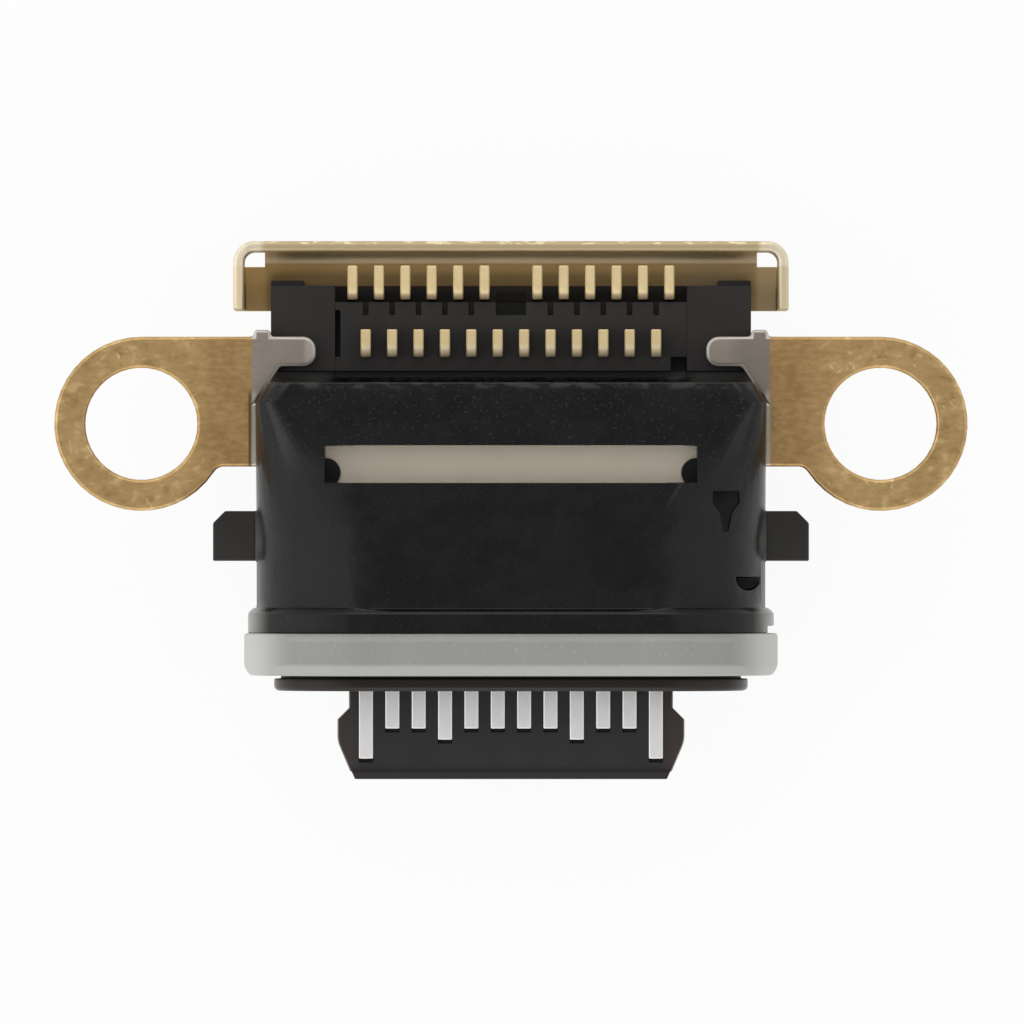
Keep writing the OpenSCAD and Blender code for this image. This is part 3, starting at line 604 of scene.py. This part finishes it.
def shield_finish():
    material, place = start_finish("plated_shield")
    side, length, height = (along(place, axis) for axis in range(3))
    across = abs(side)
    clouds = mottle(place, 0.5, 3.0, (2, 1, 1))
    rolling = mottle(place, 0.03, stretch=(10, 1, 1))
    rim = height.fade(-0.12, -0.05)
    lit_side_rim = rim * across.fade(4.98, 5.08)
    corner = rim * across.fade(4.64, 4.78) * length.fade(2.94, 3.04)
    burr_glint = mottle(place, 0.12, stretch=(2.5, 1, 1)).fade(0.52, 0.62) * rim * length.fade(3.38, 3.43)
    colour = bottom_gold(side, across, length, height, clouds)
    colour = (rim * 0.9).tint(colour, RIM_REAR)
    # The side rims are painted lit, brighter on the left.
    colour = lit_side_rim.tint(colour, RIM_RIGHT_LIT)
    colour = (lit_side_rim * side.fade(0.3, -0.3)).tint(colour, RIM_LEFT_LIT)
    # Painted highlight on the rim's rounded corners.
    colour = (corner * 0.6).tint(colour, RIM_CORNER_HIGHLIGHT)
    # Painted glints on the burrs of the rear rim.
    colour = (burr_glint * 0.9).tint(colour, BURR_GLINT)
    roughness, relief = 0.45 + 0.14 * rolling, 0.4 * rolling + clouds
    return end_finish(material, colour, roughness, relief, depth=0.003, metallic=0.8)


shield_plate = shield_finish()

# %% [markdown]
# ## Plated contacts
# A contact is gold at its tail and silver bright at its pad, where the plug wipes it. The long
# edges of a tail carry painted shade, and its bends a painted highlight, less metallic on the inner
# row.
# All tails stand on one even grid, the inner row half a pitch beside the rear row. So one ping-pong
# of the place across tells how far a point is from the middle of its tail.

# %% Finish of the contacts
CONTACT_PITCH = 0.5
TAIL_GOLD_DARK = (0.74, 0.575, 0.305, 1)
TAIL_GOLD_PALE = (0.9, 0.72, 0.405, 1)
BEND_HIGHLIGHT = (0.97, 0.81, 0.53, 1)
TAIL_EDGE_SHADE = (0.38, 0.28, 0.13, 1)
PAD_SILVER_DARK = (0.82, 0.81, 0.805, 1)
PAD_SILVER_PALE = (0.95, 0.94, 0.935, 1)


def contact_finish():
    material, place = start_finish("plated_contact")
    side, length = along(place, 0), along(place, 1)
    clouds = mottle(place, 0.25)
    rolling = mottle(place, 0.02, stretch=(1, 10, 1))
    rear_row = length.fade(1.9, 2.1)
    from_grid = side.math("PINGPONG", side, CONTACT_PITCH / 2)
    off_middle = abs(CONTACT_PITCH / 2 * (1 - rear_row) - from_grid)
    inner_bend, rear_bend = band(length, 1.2, 1.48, 0.05), band(length, 2.36, 2.5, 0.05)
    gold = clouds.tint(TAIL_GOLD_DARK, TAIL_GOLD_PALE)
    # Painted highlight on the bends.
    gold = (inner_bend | rear_bend * 0.5).tint(gold, BEND_HIGHLIGHT)
    # Painted shade along the long edges of each tail.
    gold = off_middle.fade(0.06, 0.1).tint(gold, TAIL_EDGE_SHADE)
    silver = rolling.tint(PAD_SILVER_DARK, PAD_SILVER_PALE)
    colour = length.fade(-1.9, -2.1).tint(gold, silver)
    roughness, relief = 0.4 + 0.15 * rolling, 0.5 * rolling + clouds
    metallic = 0.65 - 0.45 * inner_bend
    return end_finish(material, colour, roughness, relief, depth=0.002, metallic=metallic)


contact_plate = contact_finish()

# %% [markdown]
# ## Bare steel inside
# The shell is drawn from sheet and the plates are stamped from it, so both show fine lines along
# one way. The shell is a warm, pale steel and the plates are darker, so one function is given
# the tones.

# %% Finishes of the shell and the plates
SHELL_DARK, SHELL_PALE = (0.69, 0.61, 0.49, 1), (0.83, 0.75, 0.62, 1)
PLATE_DARK, PLATE_PALE = (0.28, 0.25, 0.22, 1), (0.38, 0.345, 0.31, 1)


def steel_finish(name, dark, pale):
    material, place = start_finish(name)
    clouds = mottle(place, 0.5, stretch=(2, 1, 1))
    drawn = mottle(place, 0.025, stretch=(14, 1, 1))
    colour = (clouds * 0.6 + drawn * 0.4).tint(dark, pale)
    roughness, relief = 0.38 + 0.15 * drawn, 0.4 * drawn + clouds
    return end_finish(material, colour, roughness, relief, depth=0.003, metallic=1.0)


shell_steel = steel_finish("drawn_steel", SHELL_DARK, SHELL_PALE)
stamped_steel = steel_finish("stamped_steel", PLATE_DARK, PLATE_PALE)

# %% [markdown]
# ## Softening an edge
# No real edge is perfectly sharp: a mould leaves about 0.03 mm, and a stamping die rolls the upper
# edge of a sheet over by more. A copy of a CAD node is merged first, because its triangles are
# loose. Flat regions are joined to single faces, then only the true edges are bevelled, and a rule
# on their place lets one rim have a wider round than the rest. Faces that a bevel shrinks to
# nothing are dissolved, so the mesh stays closed. Weighted normals keep the flats flat.

# %% A piece in place of a solid
SHARP_ANGLE = 40
SQUARE_ON = 0.999


def put_in_place(name, shape, finish, node, square=False):
    """Makes a piece from a bmesh, in place of a CAD node. Square faces can be shaded flat."""
    for face in shape.faces:
        face.smooth = not (square and max(map(abs, face.normal)) > SQUARE_ON)
    for edge in shape.edges:
        edge.smooth = edge.calc_face_angle(0) < math.radians(SHARP_ANGLE)
    mesh = bpy.data.meshes.new(name)
    shape.to_mesh(mesh)
    shape.free()
    mesh.materials.append(finish)
    piece = bpy.data.objects.new(name, mesh)
    scene.collection.objects.link(piece)
    piece.modifiers.new("flat_shading_of_flats", "WEIGHTED_NORMAL").keep_sharp = True
    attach(piece, "root")
    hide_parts(node)
    print("piece:", name, "with", len(mesh.polygons), "faces")


# %% A merged copy of a solid
MERGE_GAP = 0.0001 * MM
FLAT_ANGLE = math.radians(0.5)


def join_flats(shape):
    """Merges loose corners and joins the triangles of each flat region."""
    bmesh.ops.remove_doubles(shape, verts=shape.verts, dist=MERGE_GAP)
    bmesh.ops.dissolve_limit(shape, angle_limit=FLAT_ANGLE, verts=shape.verts, edges=shape.edges)


def merged(node):
    """A copy of a CAD node with joined corners and flats."""
    shape = bmesh.new()
    shape.from_mesh(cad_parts[node].data)
    join_flats(shape)
    return shape


# %% Rounded edges
def everywhere(middle):
    return True


def bevel_edges(shape, width, segments, angle=SHARP_ANGLE, where=everywhere):
    """Rounds edges that turn by more than angle degrees and whose middle is in the right place."""
    sharp = []
    for edge in shape.edges:
        middle = (edge.verts[0].co + edge.verts[1].co) / (2 * MM)
        turns = len(edge.link_faces) == 2 and edge.calc_face_angle() > math.radians(angle)
        if turns and where(middle):
            sharp.append(edge)
    bmesh.ops.bevel(
        shape, geom=sharp, offset=width * MM, segments=segments, profile=0.5,
        affect="EDGES", clamp_overlap=False, material=-1,
    )
    bmesh.ops.dissolve_degenerate(shape, dist=MERGE_GAP, edges=shape.edges)


def softened(node, width):
    """A merged copy of a CAD node with its edges rounded to that width in millimetres."""
    shape = merged(node)
    bevel_edges(shape, width, segments=2)
    return shape


# %% Block, carriers and tongue
BLOCK_ROUND = 0.03
CARRIER_ROUND = 0.015
TONGUE_ROUND = 0.012
WINDOW_END_X = 3.2
WINDOW_TOP_Z = 0.3
WINDOW_FRONT_Y, WINDOW_REAR_Y = -1.3, -0.3


def outside_window_ends(middle):
    """False at the ends of the slot window, which cut through facets too narrow for a round."""
    beside = middle.z < WINDOW_TOP_Z or not WINDOW_FRONT_Y < middle.y < WINDOW_REAR_Y
    return abs(middle.x) < WINDOW_END_X or beside


block = merged("outer_housing")
bevel_edges(block, BLOCK_ROUND, segments=3, where=outside_window_ends)
put_in_place("block", block, block_black, "outer_housing")
for level in ("lower", "upper"):
    node = f"{level}_contact_carrier"
    carrier = softened(node, CARRIER_ROUND)
    put_in_place(f"{level}_carrier", carrier, carrier_black, node)
tongue = softened("tongue", TONGUE_ROUND)
put_in_place("tongue_moulding", tongue, tongue_black, "tongue")

# %% Screw ears
COINED_DEPTH = 0.05
EAR_ROUND = 0.07


def level_ear(node):
    """A copy of an ear without the shallow coined step, which is too fine to carry a round."""
    shape = merged(node)
    for corner in shape.verts:
        if corner.co.z > -COINED_DEPTH * MM:
            corner.co.z = 0
    join_flats(shape)
    return shape


for side in ("left", "right"):
    ear = level_ear(f"{side}_ear")
    bevel_edges(ear, EAR_ROUND, segments=4)
    put_in_place(f"{side}_screw_ear", ear, ear_plate, f"{side}_ear")

# %% Folded shield
RIM_ROUND = 0.075
FOLD_ROUND = 0.03
RIM_DEPTH = 0.05
RELIEF_X, RELIEF_Y, RELIEF_Z = 4.6, 2.9, -1.0


def on_rim(middle):
    return middle.z > -RIM_DEPTH


def below_rim(middle):
    """False also at the bend relief in the floor's rear corners, which has no room for a round."""
    in_relief = middle.z <= RELIEF_Z and abs(middle.x) >= RELIEF_X and middle.y >= RELIEF_Y
    return middle.z < -2 * RIM_DEPTH and not in_relief


shield = merged("rear_shield")
bevel_edges(shield, RIM_ROUND, segments=4, where=on_rim)
bevel_edges(shield, FOLD_ROUND, segments=3, where=below_rim)
put_in_place("folded_shield", shield, shield_plate, "rear_shield")

# %% [markdown]
# ## The gasket ring
# The gasket is moulded round a plug-shaped path: two half circles joined by straight runs.
# Its cross-section is drawn once, spun round the right end, pulled along the bottom, spun round
# the left end and pulled back over the top, which is how a bent tube would be described.

# %% Ring round the plug opening
END_CENTRE = 2.89
END_STEPS = 40


def ring_round_opening(section):
    """Sweeps a closed section of (radius, y) points in millimetres round the opening's path."""
    shape = bmesh.new()
    centre = Vector((END_CENTRE, 0, PLUG_AXIS_HEIGHT)) * MM
    corners = [shape.verts.new(centre + Vector((0, y, r)) * MM) for r, y in section]
    edges = [shape.edges.new((a, b)) for a, b in zip(corners, corners[1:] + corners[:1])]
    for side in (1, -1):
        middle = Vector((side * centre.x, 0, centre.z))
        turned = bmesh.ops.spin(
            shape, geom=corners + edges, cent=middle, axis=(0, 1, 0),
            angle=math.pi, steps=END_STEPS,
        )
        edges = [part for part in turned["geom_last"] if isinstance(part, bmesh.types.BMEdge)]
        pulled = bmesh.ops.extrude_edge_only(shape, edges=edges)["geom"]
        corners = [part for part in pulled if isinstance(part, bmesh.types.BMVert)]
        edges = [part for part in pulled if isinstance(part, bmesh.types.BMEdge)]
        edges = [edge for edge in edges if all(end in corners for end in edge.verts)]
        bmesh.ops.translate(shape, verts=corners, vec=(-2 * side * centre.x, 0, 0))
    bmesh.ops.remove_doubles(shape, verts=shape.verts, dist=MERGE_GAP)
    bmesh.ops.recalc_face_normals(shape, faces=shape.faces)
    return shape


# %% Gasket
GASKET_SECTION = [(1.48, -4.77), (2.075, -4.77), (2.175, -4.60), (2.175, -3.97), (1.48, -3.97)]
GASKET_ROUND = 0.06
GASKET_ANGLE = 20

gasket_ring = ring_round_opening(GASKET_SECTION)
bevel_edges(gasket_ring, GASKET_ROUND, segments=4, angle=GASKET_ANGLE)
put_in_place("gasket_ring", gasket_ring, silicone_grey, "gasket")

# %% [markdown]
# ## Formed contacts
# A contact starts as a flat strip, is bent up behind the block and bent flat again for soldering.
# The same order works here: a ribbon is pulled out edge by edge, its two fold lines are rounded,
# the ribbon gets its thickness, and last its edges are softened.
# One function makes all 24, since only the places of pad and tail differ.


# %% A flat ribbon
def ribbon(stations):
    """Pulls an edge through stations of (x, width, y, z) in mm, and gives the edge at each one."""
    shape = bmesh.new()
    rows = []
    for x, width, y, z in stations:
        ends = [Vector((x + side * width / 2, y, z)) * MM for side in (-1, 1)]
        if not rows:
            pair = [shape.verts.new(end) for end in ends]
            edge = shape.edges.new(pair)
        else:
            pulled = bmesh.ops.extrude_edge_only(shape, edges=[edge])["geom"]
            pair = [part for part in pulled if isinstance(part, bmesh.types.BMVert)]
            pair.sort(key=lambda corner: corner.co.x)
            for corner, end in zip(pair, ends):
                corner.co = end
            edge = shape.edges.get(pair)
        rows.append(edge)
    return shape, rows


# %% One formed contact
CONTACT_THICKNESS = 0.15
PAD_WIDTH = 0.27
TAIL_WIDTH = 0.2
INNER_BEND = 0.08
FOLD_SEGMENTS = 6
PAD_ROOT = -1.74
NECK_LENGTH = 0.02
MOUTH = -0.15
STRIP_ROUND = 0.022
STRIP_ANGLE = 60


def formed_contact(pad_x, tail_x, pad_end, run_height, leg_y, tail_end):
    """A ribbon along the strip's upper face, from pad end to tail end, folded and thickened."""
    shape, rows = ribbon([
        (pad_x, PAD_WIDTH, pad_end, run_height),
        (pad_x, PAD_WIDTH, PAD_ROOT, run_height),
        (pad_x, TAIL_WIDTH, PAD_ROOT + NECK_LENGTH, run_height),
        (tail_x, TAIL_WIDTH, MOUTH, run_height),
        (tail_x, TAIL_WIDTH, leg_y, run_height),
        (tail_x, TAIL_WIDTH, leg_y, 0),
        (tail_x, TAIL_WIDTH, tail_end, 0),
    ])
    leg_foot, leg_head = rows[4:6]
    for fold, radius in ((leg_foot, INNER_BEND), (leg_head, INNER_BEND + CONTACT_THICKNESS)):
        bmesh.ops.bevel(
            shape, geom=[fold], offset=radius * MM, segments=FOLD_SEGMENTS, profile=0.5,
            affect="EDGES", clamp_overlap=False, material=-1,
        )
    bmesh.ops.recalc_face_normals(shape, faces=shape.faces)
    tail = max(shape.faces, key=lambda face: face.calc_center_median().y)
    if tail.normal.z < 0:
        bmesh.ops.reverse_faces(shape, faces=shape.faces)
    bmesh.ops.solidify(shape, geom=shape.faces, thickness=CONTACT_THICKNESS * MM)
    bevel_edges(shape, STRIP_ROUND, segments=2, angle=STRIP_ANGLE)
    return shape


# %% Both rows of contacts
ROW_A = {"run_height": -0.60, "leg_y": 1.265, "tail_end": 1.79}
ROW_B = {"run_height": -1.15, "leg_y": 2.36, "tail_end": 3.0}
CONTACTS_IN_ROW = 12

for number in range(1, CONTACTS_IN_ROW + 1):
    pad_x = (number - (CONTACTS_IN_ROW + 1) / 2) * CONTACT_PITCH
    spread_x = pad_x + math.copysign(CONTACT_PITCH / 2, pad_x)
    for row, tail_x, bends in (("a", pad_x, ROW_A), ("b", spread_x, ROW_B)):
        name, node = f"strip_{row}{number}", f"contact_{row}{number}"
        pad_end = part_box(node)[0].y / MM
        strip = formed_contact(pad_x, tail_x, pad_end, **bends)
        put_in_place(name, strip, contact_plate, node, square=True)

# %% [markdown]
# ## The sealing bead and the metal inside
# The bead between deck and block is a smear of sealing compound, whose lumps are in its finish.
# The drawn shell, the mid plate and the ground plates are thin sheet: a narrow round is enough.

# %% Bead, shell and plates
BEAD_ROUND = 0.03
SHEET_ROUND = 0.015

bead = softened("rear_seal", BEAD_ROUND)
put_in_place("seal_bead", bead, bead_black, "rear_seal")
shell = softened("inner_shell", SHEET_ROUND)
put_in_place("drawn_shell", shell, shell_steel, "inner_shell")
for node in ("mid_plate", "upper_ground_plate", "lower_ground_plate"):
    plate = softened(node, SHEET_ROUND)
    put_in_place(f"stamped_{node}", plate, stamped_steel, node)
